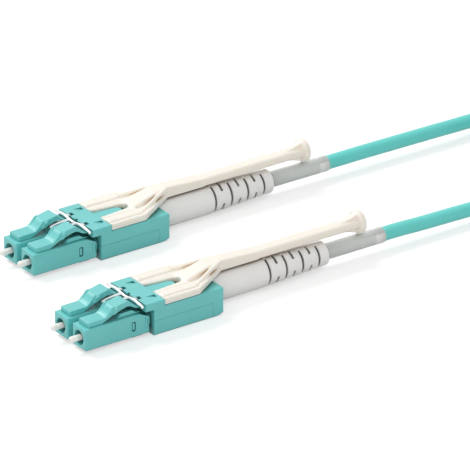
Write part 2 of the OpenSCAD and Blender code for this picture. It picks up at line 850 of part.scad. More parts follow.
function coil_height(u) =
    coil_z[0] + (coil_z[1] - coil_z[0]) * ease(min(max(2 * (u - coil_layer_turns), 0), 1));

function coil_point(u) = [
    coil_centre[0] + coil_radius(u) * cos(90 - 360 * u),
    coil_centre[1] + coil_radius(u) * sin(90 - 360 * u),
    coil_height(u)
];

coil_steps = round(coil_turns * coil_rings);
coil_line = concat(
    [coil_point(0) - [cable_d, 0, 0]],
    [for (i = [0:coil_steps]) coil_point(coil_turns * i / coil_steps)],
    [coil_point(coil_turns) - [cable_d, 0, 0]]
);

// Least gap between turns, from each ring's centre to those over half a turn away
coil_least_gap = min([
    for (i = [0:len(coil_line) - 1], k = [i + coil_rings / 2:1:len(coil_line) - 1])
        norm(coil_line[i] - coil_line[k])
]) - cable_d;

module cord_lead_a() {
    from = [end_x[end_a] + entry_end, end_y[end_a], boot_z];
    color(cable_aqua)
        tube(carried(lead_a_points, from, coil_line[0]), cable_d);
}

module cord_lead_b() {
    from = [end_x[end_b] + entry_end, end_y[end_b], boot_z];
    color(cable_aqua)
        tube(carried(lead_b_points, from, coil_line[len(coil_line) - 1]), cable_d);
}

module cord_coil() {
    echo(coil_least_gap = coil_least_gap);
    color(cable_aqua)
        tube(coil_line, cable_d, coil_sides);
}

// A hook-and-loop strap round the coil's turns, on the side away from the connectors
module coil_tie() {
    inner_low = coil_z[0] - cable_d / 2 - 0.2;
    inner_high = coil_z[1] + cable_d / 2 + 0.2;
    inner_near = coil_in - cable_d / 2 - 0.3;
    inner_far = coil_out + cable_d / 2 + 0.2;
    mid = [(inner_near + inner_far) / 2, (inner_low + inner_high) / 2];
    size = [inner_far - inner_near, inner_high - inner_low];
    color("#2E3234")
        translate([coil_centre[0], coil_centre[1], 0])
            across_y(0, tie_w)
                translate(mid)
                    difference() {
                        rounded_rect(size[0] + 2 * tie_t, size[1] + 2 * tie_t, 1.3 + tie_t);
                        rounded_rect(size[0], size[1], 1.3);
                    }
}

plug(end_a, left);  // a_plug_left
plug(end_a, right);  // a_plug_right
latch(end_a, left);  // a_latch_left
latch(end_a, right);  // a_latch_right
ferrule(end_a, left);  // a_ferrule_left
ferrule(end_a, right);  // a_ferrule_right
flange(end_a, left);  // a_flange_left
flange(end_a, right);  // a_flange_right
spring(end_a, left);  // a_spring_left
spring(end_a, right);  // a_spring_right
back_post(end_a, left);  // a_back_post_left
back_post(end_a, right);  // a_back_post_right
housing_top(end_a);  // a_housing_top
housing_bottom(end_a);  // a_housing_bottom
release_wire(end_a);  // a_release_wire
pull_tab(end_a);  // a_pull_tab
boot(end_a);  // a_boot
crimp_ring(end_a);  // a_crimp_ring
label(end_a);  // a_label
label_sleeve(end_a);  // a_label_sleeve
fibre(end_a, left);  // a_fibre_left
fibre(end_a, right);  // a_fibre_right
cable_entry(end_a);  // a_cable_entry
plug(end_b, left);  // b_plug_left
plug(end_b, right);  // b_plug_right
latch(end_b, left);  // b_latch_left
latch(end_b, right);  // b_latch_right
ferrule(end_b, left);  // b_ferrule_left
ferrule(end_b, right);  // b_ferrule_right
flange(end_b, left);  // b_flange_left
flange(end_b, right);  // b_flange_right
spring(end_b, left);  // b_spring_left
spring(end_b, right);  // b_spring_right
back_post(end_b, left);  // b_back_post_left
back_post(end_b, right);  // b_back_post_right
housing_top(end_b);  // b_housing_top
housing_bottom(end_b);  // b_housing_bottom
release_wire(end_b);  // b_release_wire
pull_tab(end_b);  // b_pull_tab
boot(end_b);  // b_boot
crimp_ring(end_b);  // b_crimp_ring
label(end_b);  // b_label
label_sleeve(end_b);  // b_label_sleeve
fibre(end_b, left);  // b_fibre_left
fibre(end_b, right);  // b_fibre_right
cable_entry(end_b);  // b_cable_entry
cord_lead_a();
cord_coil();
cord_lead_b();
coil_tie();
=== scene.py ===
"""Looks of a fibre patch cord.

Two duplex connectors, each with latches, a release wire, a push-pull tab, a boot and a label,
and the cable between them with its coil tied beside them.
"""

import logging
import math
from dataclasses import dataclass, field
from enum import Enum
from typing import Any, Sequence

import bmesh
import bpy
from bmesh.types import BMesh, BMFace, BMVert
from bpy.types import Material, Node, NodeSocket, NodeTree, Object
from mathutils import Matrix, Vector


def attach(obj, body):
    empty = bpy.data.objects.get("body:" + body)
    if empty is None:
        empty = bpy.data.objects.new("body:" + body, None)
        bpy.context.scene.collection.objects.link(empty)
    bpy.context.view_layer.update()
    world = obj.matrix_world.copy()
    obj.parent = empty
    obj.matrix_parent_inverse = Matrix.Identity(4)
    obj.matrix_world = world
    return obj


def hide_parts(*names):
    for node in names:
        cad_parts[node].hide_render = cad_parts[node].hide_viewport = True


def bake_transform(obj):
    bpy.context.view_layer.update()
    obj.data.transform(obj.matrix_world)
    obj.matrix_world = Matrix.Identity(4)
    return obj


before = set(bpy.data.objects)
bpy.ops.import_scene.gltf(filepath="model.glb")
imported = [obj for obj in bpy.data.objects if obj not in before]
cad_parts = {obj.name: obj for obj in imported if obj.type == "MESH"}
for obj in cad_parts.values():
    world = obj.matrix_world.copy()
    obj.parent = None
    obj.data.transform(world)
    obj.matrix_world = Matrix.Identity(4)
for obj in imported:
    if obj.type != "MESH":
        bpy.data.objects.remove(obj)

log = logging.getLogger("patch_cord")

Outline = Sequence[tuple[float, float]]
Path = Sequence[tuple[float, float, float]]

MM = 0.001
MICRON = 1e-6
CORD_BODY = "cord_body"
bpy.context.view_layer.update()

# Millimetres between a connector's two ferrules
PLUG_PITCH = 6.25
FULL_TURN = 2 * math.pi
# Sides of a piece that is turned round its axis
ROUND_SIDES = 48
# Radians from a bar's axis to each ring of the dome that closes its end
DOME_RINGS = (0.25, 0.6, 1.0, 1.3)
# How near two points of a drawn shape, and of a CAD node's mesh, are one point
WELD_MM = 1e-5
NODE_WELD_M = 1e-7


class End(Enum):
    """The two connectors of the cord; the value is the prefix of their node names."""

    FAR = "a"
    NEAR = "b"


class Side(Enum):
    """The two plugs of a connector, with the sign of their Y."""

    LEFT = 1
    RIGHT = -1

    @property
    def word(self) -> str:
        """Returns the side as node names say it."""
        return self.name.lower()


@dataclass(frozen=True)
class Seat:
    """Where one connector lies, in millimetres.

    Attributes:
        end: Which connector it is.
        x: X of its plugs' front faces.
        y: Y of its middle plane.
    """

    end: End
    x: float
    y: float

    def node(self, name: str) -> str:
        """Returns the full name of one of the connector's nodes."""
        return f"{self.end.value}_{name}"

    def settle(self, shape: BMesh, side: Side | None = None) -> None:
        """Moves a shape from the connector's own millimetres to metres on the table.

        Args:
            shape: The shape, drawn round the connector's or the plug's middle plane.
            side: The plug that it belongs to, if it belongs to one.
        """
        shift = PLUG_PITCH / 2 * side.value if side else 0.0
        place = Matrix.Scale(MM, 4) @ Matrix.Translation((self.x, self.y + shift, 0.0))
        bmesh.ops.transform(shape, matrix=place, verts=shape.verts)


SEATS = (Seat(End.FAR, -30.75, 16.5), Seat(End.NEAR, -40.75, -16.5))


def linear(hex_code: str) -> tuple[float, float, float, float]:
    """Turns an sRGB hex colour to the linear colour that a shader takes.

    Args:
        hex_code: The colour, such as "#62BDB7".

    Returns:
        Red, green, blue and an alpha of 1.
    """
    parts = [int(hex_code[i:i + 2], 16) / 255 for i in (1, 3, 5)]
    red, green, blue = [c / 12.92 if c <= 0.04045 else ((c + 0.055) / 1.055) ** 2.4 for c in parts]
    return red, green, blue, 1.0


def add_node(tree: NodeTree, kind: str, inputs: dict[str | int, Any] | None = None,
             **settings: Any) -> Node:
    """Adds a shader node with its settings and links.

    Args:
        tree: The node tree that gets the node.
        kind: The node's type name, after ShaderNode.
        inputs: Each input's name or number, with its value or the output that feeds it.
        settings: The node's own properties.

    Returns:
        The new node.
    """
    node = tree.nodes.new(f"ShaderNode{kind}")
    for name, value in settings.items():
        setattr(node, name, value)
    for key, value in (inputs or {}).items():
        if isinstance(value, NodeSocket):
            tree.links.new(value, node.inputs[key])
        else:
            node.inputs[key].default_value = value
    return node


# ---- Mesh tools ----


def mesh_object(name: str, shape: BMesh) -> Object:
    """Turns a finished bmesh into an object.

    Args:
        name: The object's name.
        shape: The bmesh, which is freed.

    Returns:
        The object, linked to the scene.
    """
    mesh = bpy.data.meshes.new(name)
    shape.to_mesh(mesh)
    shape.free()
    piece = bpy.data.objects.new(name, mesh)
    bpy.context.collection.objects.link(piece)
    return piece


def slab(shape: BMesh, outline: Outline, *ends: float) -> None:
    """Adds a solid with the same side view all the way across.

    Args:
        shape: The bmesh that gets it.
        outline: The side view's corners, as X and Z.
        ends: Y of its two sides, in either order.
    """
    low, high = sorted(ends)
    face = shape.faces.new([shape.verts.new((x, low, z)) for x, z in outline])
    grown = bmesh.ops.extrude_face_region(shape, geom=[face])["geom"]
    moved = [item for item in grown if isinstance(item, BMVert)]
    bmesh.ops.translate(shape, verts=moved, vec=(0.0, high - low, 0.0))


def spun(profile: Outline, steps: int = ROUND_SIDES, closed: bool = False,
         turn: float = FULL_TURN) -> BMesh:
    """Turns a profile round the X axis.

    Args:
        profile: Points of the profile, as X and radius.
        steps: Steps of the turn.
        closed: Whether the profile is a closed outline.
        turn: The angle that it turns through.

    Returns:
        The turned shape.
    """
    shape = bmesh.new()
    verts = [shape.verts.new((x, 0.0, radius)) for x, radius in profile]
    edges = [shape.edges.new(pair) for pair in zip(verts, verts[1:])]
    if closed:
        edges.append(shape.edges.new((verts[-1], verts[0])))
    bmesh.ops.spin(shape, geom=[*verts, *edges], cent=(0, 0, 0), axis=(1, 0, 0), angle=turn,
                   steps=steps, use_merge=turn == FULL_TURN)
    bmesh.ops.remove_doubles(shape, verts=shape.verts, dist=WELD_MM)
    bmesh.ops.recalc_face_normals(shape, faces=shape.faces)
    soften(shape)
    return shape


def swept(shape: BMesh, path: Sequence[Vector], radius: float, sides: int = 16) -> None:
    """Adds a round bar with domed ends along a path.

    Args:
        shape: The bmesh that gets it.
        path: The bar's centre line.
        radius: Its radius.
        sides: Sides of its section.
    """
    first, last = (path[1] - path[0]).normalized(), (path[-1] - path[-2]).normalized()
    points = [path[0] - first * radius * math.cos(a) for a in DOME_RINGS]
    points += [Vector(p) for p in path]
    points += [path[-1] + last * radius * math.cos(a) for a in reversed(DOME_RINGS)]
    dome = [radius * math.sin(a) for a in DOME_RINGS]
    widths = [*dome, *[radius] * len(path), *reversed(dome)]
    ways = [(b - a).normalized() for a, b in zip(points, points[1:])]
    ways = [ways[0], *[(a + b).normalized() for a, b in zip(ways, ways[1:])], ways[-1]]
    ring = bmesh.ops.create_circle(shape, cap_ends=True, segments=sides, radius=widths[0])["verts"]
    turn = Vector((0, 0, 1)).rotation_difference(ways[0]).to_matrix()
    bmesh.ops.rotate(shape, verts=ring, cent=(0, 0, 0), matrix=turn)
    bmesh.ops.translate(shape, verts=ring, vec=points[0])
    face = next(f for f in ring[0].link_faces)
    for i in range(1, len(points)):
        grown = bmesh.ops.extrude_face_region(shape, geom=[face])["geom"]
        if i > 1:  # only the first face closes an end, and the next ones would stay inside
            bmesh.ops.delete(shape, geom=[face], context="FACES_ONLY")
        ring = [item for item in grown if isinstance(item, BMVert)]
        face = next(item for item in grown if isinstance(item, BMFace))
        bmesh.ops.translate(shape, verts=ring, vec=points[i] - points[i - 1])
        turn = ways[i - 1].rotation_difference(ways[i]).to_matrix()
        bmesh.ops.rotate(shape, verts=ring, cent=points[i], matrix=turn)
        grow = widths[i] / widths[i - 1]
        bmesh.ops.scale(shape, verts=ring, vec=(grow, grow, grow),
                        space=Matrix.Translation(-points[i]))


def soften(shape: BMesh) -> None:
    """Shades all of a shape's faces smooth."""
    for face in shape.faces:
        face.smooth = True


def one_skin(shape: BMesh, voxel: float, passes: int) -> BMesh:
    """Melts solids that meet into one moulded skin with softened edges.

    Args:
        shape: The solids, in millimetres. It is freed.
        voxel: Size of the skin's faces in millimetres.
        passes: Rounds of smoothing.

    Returns:
        The skin.
    """
    bmesh.ops.recalc_face_normals(shape, faces=shape.faces)
    blank = mesh_object("blank", shape)
    cast = blank.modifiers.new("cast", "REMESH")
    cast.mode, cast.voxel_size = "VOXEL", voxel
    cast_mesh = bpy.data.meshes.new_from_object(
        blank.evaluated_get(bpy.context.evaluated_depsgraph_get()))
    bpy.data.objects.remove(blank)
    skin = bmesh.new()
    skin.from_mesh(cast_mesh)
    bpy.data.meshes.remove(cast_mesh)
    for _ in range(passes):
        bmesh.ops.smooth_vert(skin, verts=skin.verts, factor=0.5, use_axis_x=True,
                              use_axis_y=True, use_axis_z=True)
    soften(skin)
    return skin


def copy_of(node: str) -> BMesh:
    """Copies a CAD node's shape, with its triangles joined.

    Args:
        node: The node's name.

    Returns:
        The shape, in millimetres on the table.
    """
    shape = bmesh.new()
    shape.from_mesh(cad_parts[node].data)
    bmesh.ops.remove_doubles(shape, verts=shape.verts, dist=NODE_WELD_M)
    bmesh.ops.scale(shape, vec=(1 / MM, 1 / MM, 1 / MM), verts=shape.verts)
    return shape


# ---- Finishes ----

# Noise heights between which the clouds of a colour fade in
CLOUD_FADE = (0.35, 0.65)
# Shares of open surroundings between which the painted shade of recesses fades out
PAINTED_SHADE_FADE = (0.1, 0.6)
PAINTED_SHADE_SAMPLES = 8
EDGE_SAMPLES = 4


@dataclass(frozen=True)
class Finish:
    """A surface finish. Its pattern sizes are in millimetres of the real thing.

    Attributes:
        name: What the material is called.
        colour: Its sRGB colour.
        shade: The sRGB colour of its soft clouds.
        roughness: Its mean roughness.
        mottle_mm: Size of the clouds.
        mottle: How far the clouds move the colour towards the shade.
        grain_mm: Size of its surface grain.
        grain: Depth of the grain in micrometres.
        stretch: How far the grain is drawn out along X, Y and Z.
        edge_mm: Radius that its sharp edges are softened by.
        painted_shade: The sRGB colour of painted shade that darkens its recesses, creases and the
            gaps between parts.
        painted_shade_mm: How near other surfaces must be for the painted shade to darken it.
        heights: Two heights of the grain.
        gloss: Shares of the roughness at those two heights.
        settings: The shader's other inputs.
    """

    name: str
    colour: str
    shade: str
    roughness: float
    mottle_mm: float = 3.0
    mottle: float = 0.3
    grain_mm: float = 0.25
    grain: float = 2.0
    stretch: tuple[float, float, float] = (1.0, 1.0, 1.0)
    edge_mm: float = 0.0
    painted_shade: str = ""
    painted_shade_mm: float = 1.6
    heights: tuple[float, float] = (0.3, 0.7)
    gloss: tuple[float, float] = (0.85, 1.15)
    settings: dict[str, Any] = field(default_factory=dict)

    def material(self) -> Material:
        """Gives the finish's material, which is made the first time.

        Returns:
            The material.
        """
        if self.name in bpy.data.materials:
            return bpy.data.materials[self.name]
        material = bpy.data.materials.new(self.name)
        material.use_nodes = True
        tree = material.node_tree
        shader = tree.nodes["Principled BSDF"]
        place = add_node(tree, "TexCoord").outputs["Object"]
        self.colour_nodes(tree, shader, place)
        self.surface_nodes(tree, shader, self.relief(tree, place))
        for name, value in self.settings.items():
            shader.inputs[name].default_value = value
        return material

    def colour_nodes(self, tree: NodeTree, shader: Node, place: NodeSocket) -> None:
        """Gives the shader its clouded colour, and painted shade that darkens it in recesses and
        gaps.

        Args:
            tree: The material's node tree.
            shader: The material's main shader.
            place: The coordinates that patterns read.
        """
        clouds = add_node(tree, "TexNoise", {
            "Vector": place, "Scale": 1 / (self.mottle_mm * MM), "Detail": 3.0})
        share = add_node(tree, "MapRange", {
            "Value": clouds.outputs["Fac"], "From Min": CLOUD_FADE[0], "From Max": CLOUD_FADE[1],
            "To Max": self.mottle})
        mix = add_node(tree, "Mix", {
            "Factor": share.outputs["Result"], "A": linear(self.colour), "B": linear(self.shade)},
            data_type="RGBA")
        # Painted shade: the colour darkens where other surfaces are near, in recesses, creases and
        # gaps.
        if self.painted_shade:
            open_sky = add_node(tree, "AmbientOcclusion", {
                "Distance": self.painted_shade_mm * MM}, samples=PAINTED_SHADE_SAMPLES)
            painted_shade_share = add_node(tree, "MapRange", {
                "Value": open_sky.outputs["AO"], "From Min": PAINTED_SHADE_FADE[0],
                "From Max": PAINTED_SHADE_FADE[1], "To Min": 1.0, "To Max": 0.0})
            mix = add_node(tree, "Mix", {
                "Factor": painted_shade_share.outputs["Result"], "A": mix.outputs["Result"],
                "B": linear(self.painted_shade)}, data_type="RGBA")
        tree.links.new(mix.outputs["Result"], shader.inputs["Base Color"])

    def relief(self, tree: NodeTree, place: NodeSocket) -> NodeSocket:
        """Adds the nodes of the surface's grain.

        Args:
            tree: The material's node tree.
            place: The coordinates that patterns read.

        Returns:
            The output that gives the grain's height.
        """
        drawn = add_node(tree, "Mapping", {"Vector": place, "Scale": [1 / s for s in self.stretch]})
        grain = add_node(tree, "TexNoise", {
            "Vector": drawn.outputs["Vector"], "Scale": 1 / (self.grain_mm * MM), "Detail": 2.0})
        return grain.outputs["Fac"]

    def surface_nodes(self, tree: NodeTree, shader: Node, height: NodeSocket) -> None:
        """Gives the shader its grain, uneven gloss and softened edges.

        Args:
            tree: The material's node tree.
            shader: The material's main shader.
            height: The output that gives the grain's height.
        """
        low, high = self.heights
        at_low, at_high = [self.roughness * share for share in self.gloss]
        gloss = add_node(tree, "MapRange", {
            "Value": height, "From Min": low, "From Max": high, "To Min": at_low,
            "To Max": at_high})
        bump = add_node(tree, "Bump", {
            "Height": height, "Distance": self.grain * MICRON, "Strength": 1.0})
        if self.edge_mm:
            edge = add_node(tree, "Bevel", {"Radius": self.edge_mm * MM},
                            samples=EDGE_SAMPLES)
            tree.links.new(edge.outputs["Normal"], bump.inputs["Normal"])
        tree.links.new(gloss.outputs["Result"], shader.inputs["Roughness"])
        tree.links.new(bump.outputs["Normal"], shader.inputs["Normal"])


@dataclass(frozen=True)
class Weave(Finish):
    """A plain weave of threads along Y and along the strap's length.

    Attributes:
        thread_mm: Spacing of the threads.
    """

    thread_mm: float = 0.5
    heights: tuple[float, float] = (-1.0, 1.0)
    gloss: tuple[float, float] = (1.0, 0.8)

    def relief(self, tree: NodeTree, place: NodeSocket) -> NodeSocket:
        """Adds the nodes of the over-and-under threads.

        Args:
            tree: The material's node tree.
            place: The coordinates that patterns read.

        Returns:
            The output that gives the threads' height.
        """
        axes = add_node(tree, "SeparateXYZ", {"Vector": place})
        along = add_node(tree, "Math", {0: axes.outputs["X"], 1: axes.outputs["Z"]})
        waves = []
        for socket in (along.outputs[0], axes.outputs["Y"]):
            phase = add_node(tree, "Math", {0: socket, 1: math.pi / (self.thread_mm * MM)},
                             operation="MULTIPLY")
            waves.append(add_node(tree, "Math", {0: phase.outputs[0]}, operation="SINE"))
        cross = add_node(tree, "Math", {0: waves[0].outputs[0], 1: waves[1].outputs[0]},
                         operation="MULTIPLY")
        return cross.outputs[0]


METAL = {"Metallic": 1.0}
# Light goes a little way into the pale mouldings and softens their edges
TRANSLUCENT = {"Subsurface Weight": 0.4, "Subsurface Scale": 0.0015}

# Moulded polyester with a spark-eroded skin, dyed through: satin, with a faint cloudiness, and
# painted shade that darkens its bores, gaps and recesses
CONNECTOR_PLASTIC = Finish("moulded_polyester_aqua", "#6CCAC8", "#63C1BF", 0.36, edge_mm=0.12,
                           painted_shade="#004B46", painted_shade_mm=2.2, settings={"IOR": 1.57})
# Moulded natural nylon: warm cream, a little glossier than the boot, with painted warm shade in its
# recesses and where it lies close over other parts
TAB_NYLON = Finish("moulded_nylon_cream", "#F7F0E6", "#F3EADC", 0.38, edge_mm=0.1,
                   painted_shade="#C8AC88", painted_shade_mm=1.4,
                   settings={"IOR": 1.53, **TRANSLUCENT, "Subsurface Radius": (1.0, 0.7, 0.45)})
# Moulded thermoplastic rubber: neutral off-white with a dull skin, and painted shade in its slots
# and recesses
BOOT_RUBBER = Finish("moulded_rubber_white", "#F8F6F3", "#F3F0EC", 0.48, edge_mm=0.1,
                     painted_shade="#6E6254",
                     settings={"IOR": 1.5, **TRANSLUCENT, "Subsurface Radius": (1.0, 0.95, 0.9)})
# Ground and polished zirconia: a hard, near-mirror white
CERAMIC = Finish("polished_zirconia", "#F8F6F1", "#F1EEE6", 0.12, grain_mm=0.1, grain=0.2,
                 settings={"IOR": 2.1})
# Turned brass with bright nickel plating: a warm grey shine with fine rings
FLANGE_METAL = Finish("turned_nickel", "#C9C7C1", "#B7B4AC", 0.28, stretch=(0.2, 1.0, 1.0),
                      settings=METAL)
# Hard-drawn spring steel: grey, with fine die lines
SPRING_STEEL = Finish("drawn_spring_steel", "#B9BBBD", "#A5A7AA", 0.3, grain_mm=0.08, grain=1.0,
                      settings=METAL)
# Bright formed steel wire: highlights drawn out along the bar by its drawn lines
WIRE_STEEL = Finish("bright_formed_wire", "#E6E9EA", "#D6DADC", 0.28, grain_mm=0.1, grain=0.15,
                    stretch=(1.0, 8.0, 1.0), settings=METAL)
# Plain brass tube: yellow and slightly dull
CRIMP_BRASS = Finish("plain_brass", "#C9AA62", "#B4934E", 0.35, settings=METAL)
# Bare matt polyester label film: pale grey, with the faint mottle of its print coating
LABEL_FILM = Finish("label_film", "#D9DCD8", "#CFD2CE", 0.5, mottle_mm=1.2, grain_mm=0.15)
# The film's unprinted margin, whiter where the sleeve is shrunk on to it
LABEL_MARGIN = Finish("label_film_margin", "#FBF9F4", "#F4F1EA", 0.5, mottle_mm=1.2, grain_mm=0.15)
# Clear heat-shrunk polyolefin over the label: glossy, and uneven from the heat
CLEAR_SLEEVE = Finish("clear_shrink_sleeve", "#F2F6F5", "#E6ECEA", 0.12, grain_mm=0.8, grain=6.0,
                      settings={"Alpha": 0.16, "IOR": 1.5})
# Cleaved silica fibre: a grey, glassy point, drawn wider than its 0.125 mm to show
SILICA_CORE = Finish("cleaved_silica", "#9AA3A6", "#8C969A", 0.08, settings={"IOR": 1.46})
# Nylon buffer drawn over the fibre: pale blue, with a soft gloss
FIBRE_BUFFER = Finish("nylon_fibre_buffer", "#DCE6EA", "#CBD8DE", 0.3)
# Extruded low-smoke jacket: satin, with faint unevenness from the die
JACKET = Finish("extruded_jacket_aqua", "#68D7D0", "#5ECCC5", 0.36, mottle_mm=5.0, grain_mm=0.4,
                grain=4.0, settings={"IOR": 1.5})
# Woven nylon of a hook-and-loop strap: dull threads that cross over and under
STRAP_WEAVE = Weave("woven_nylon_strap", "#2E3234", "#1F2224", 0.85, mottle_mm=0.6, grain=90.0,
                    settings={"Sheen Weight": 0.3})

NODE_FINISHES: dict[str, Finish] = {
    "plug": CONNECTOR_PLASTIC, "latch": CONNECTOR_PLASTIC, "ferrule": CERAMIC,
    "flange": FLANGE_METAL, "spring": SPRING_STEEL, "back_post": CONNECTOR_PLASTIC,
    "housing": CONNECTOR_PLASTIC, "release_wire": WIRE_STEEL, "pull_tab": TAB_NYLON,
    "boot": BOOT_RUBBER, "crimp_ring": CRIMP_BRASS, "label_sleeve": CLEAR_SLEEVE,
    "label": LABEL_FILM, "fibre": FIBRE_BUFFER, "cable_entry": JACKET,
}


def dress(piece: Object, finish: Finish) -> None:
    """Gives a piece or a CAD node one finish all over.

    Args:
        piece: The object.
        finish: Its finish.
    """
    for slot in piece.material_slots:
        slot.material = finish.material()
    if not piece.material_slots:
        piece.data.materials.append(finish.material())


def dress_nodes() -> None:
    """Gives each of the connectors' CAD nodes its finish."""
    prefixes = [f"{end.value}_" for end in End]
    for name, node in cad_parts.items():
        part = name[2:] if name[:2] in prefixes else name
        for key in sorted(NODE_FINISHES, key=len, reverse=True):
            if part.startswith(key):
                dress(node, NODE_FINISHES[key])
                break


def finished(name: str, shape: BMesh, finish: Finish, slot: str, body: str,
             *nodes: str) -> Object:
    """Makes an object of a finished shape, dresses it and hides the nodes that it stands for.

    Args:
        name: The piece's name.
        shape: Its shape, in metres on the table.
        finish: Its finish.
        slot: The record's material slot; it is not used.
        body: The body that it rides on, or nothing to leave it unattached.
        nodes: The CAD nodes that it replaces.

    Returns:
        The piece.
    """
    piece = mesh_object(name, shape)
    dress(piece, finish)
    if nodes:
        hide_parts(*nodes)
    if body:
        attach(piece, body)
    log.info("%s: %d faces", name, len(piece.data.polygons))
    return piece


# ---- Connector ----


@dataclass
class PlugPart:
    """A piece on one plug. Its lengths are millimetres in the plug's own place.

    Attributes:
        seat: The connector that it is on.
        side: The plug that it is on.
    """

    seat: Seat
    side: Side


@dataclass
class Latch(PlugPart):
    """A plug's latch in one piece: flat root, ramp between raised rims, crest, catches and tail.

    Attributes:
        width: Width of the arm.
        rim: Width of each rim.
        catch: How far a catch stands out on each side.
        catch_root: How far a catch goes into the arm.
        hinge_x: X where the arm starts to bend, and where it is free of the root; not used.
        hinge_z: Z of the hinge; not used.
        voxel: Size of the skin's faces.
        passes: Rounds of smoothing.
        arm_view: The arm's side view, from the root's front over the top and back beneath.
        rim_view: Side view of a rim beside the ramp.
        catch_view: Side view of a catch.
    """

    width: float = 3.24
    rim: float = 0.42
    catch: float = 0.42
    catch_root: float = 0.1
    hinge_x: tuple[float, float] = (4.35, 4.7)
    hinge_z: float = 5.6
    voxel: float = 0.075
    passes: int = 2
    arm_view: Outline = (
        (1.06, 5.05), (1.06, 5.9), (1.22, 6.09), (4.6, 6.12), (5.0, 6.2), (5.4, 6.38), (5.8, 6.66),
        (6.2, 7.02), (6.6, 7.42), (7.0, 7.72), (9.85, 8.33), (10.15, 8.33), (10.45, 8.12),
        (11.2, 7.38), (11.9, 6.9), (12.4, 6.68), (13.15, 6.62), (13.15, 6.2), (12.2, 6.28),
        (11.6, 6.55), (10.9, 7.05), (10.2, 7.2), (9.2, 6.98), (7.9, 6.62), (6.9, 6.3), (6.2, 6.02),
        (5.5, 5.68), (4.9, 5.36), (4.45, 5.2), (4.3, 5.05))
    rim_view: Outline = (
        (4.95, 6.0), (5.3, 6.38), (5.8, 6.78), (6.45, 7.5), (6.8, 7.88), (7.05, 7.93), (7.4, 7.78),
        (7.0, 7.2), (5.9, 6.2))
    catch_view: Outline = (
        (6.3, 6.5), (6.95, 7.52), (7.12, 7.66), (7.85, 7.72), (7.95, 7.1), (7.2, 6.6))

    def build(self) -> None:
        """Builds the latch."""
        seat, side = self.seat, self.side
        shape = bmesh.new()
        half = self.width / 2
        slab(shape, self.arm_view, -half, half)
        for sign in (1, -1):
            slab(shape, self.rim_view, sign * half, sign * (half - self.rim))
            slab(shape, self.catch_view, sign * (half - self.catch_root),
                 sign * (half + self.catch))
        shape = one_skin(shape, self.voxel, self.passes)
        seat.settle(shape, side)
        name = seat.node(f"latch_{side.word}")
        piece = finished(f"{name}_arm", shape, CONNECTOR_PLASTIC, "connector_plastic", "", name)
        seat.node(f"latch_arm_{side.word}")
        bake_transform(piece)


@dataclass
class SmallMoulding(PlugPart):
    """A small solid with rounded edges in the connector's plastic.

    Attributes:
        name: What it is called on each side.
        side_view: Its side view.
        ends: Y of its two sides on the left plug.
        edge: Radius of its edges.
    """

    name: str
    side_view: Outline
    ends: tuple[float, float]
    edge: float

    def build(self) -> None:
        """Builds the solid, and mirrors its sides for the right plug."""
        shape = bmesh.new()
        slab(shape, self.side_view, *(self.side.value * y for y in self.ends))
        bmesh.ops.recalc_face_normals(shape, faces=shape.faces)
        bmesh.ops.bevel(shape, geom=shape.edges[:], offset=self.edge, offset_type="OFFSET",
                        affect="EDGES", segments=2, profile=0.5, material=-1)
        self.seat.settle(shape, self.side)
        finished(self.seat.node(f"{self.name}_{self.side.word}"), shape, CONNECTOR_PLASTIC,
                 "connector_plastic", CORD_BODY)


@dataclass
class LatchRest(SmallMoulding):
    """The stepped rest over a plug's rib that the latch's tail comes down beside."""

    name: str = "latch_rest"
    side_view: Outline = (
        (8.0, 5.15), (8.7, 6.01), (11.25, 6.03), (12.15, 5.44), (13.1, 5.28), (13.1, 5.15))
    ends: tuple[float, float] = (-1.45, 1.45)
    edge: float = 0.04


@dataclass
class Barb(SmallMoulding):
    """The post's barb that shows as a low tooth on a plug's outer side."""

    name: str = "barb"
    side_view: Outline = ((13.8, 2.0), (14.3, 2.0), (14.3, 4.0), (13.8, 4.0))
    ends: tuple[float, float] = (2.15, 2.38)
    edge: float = 0.05


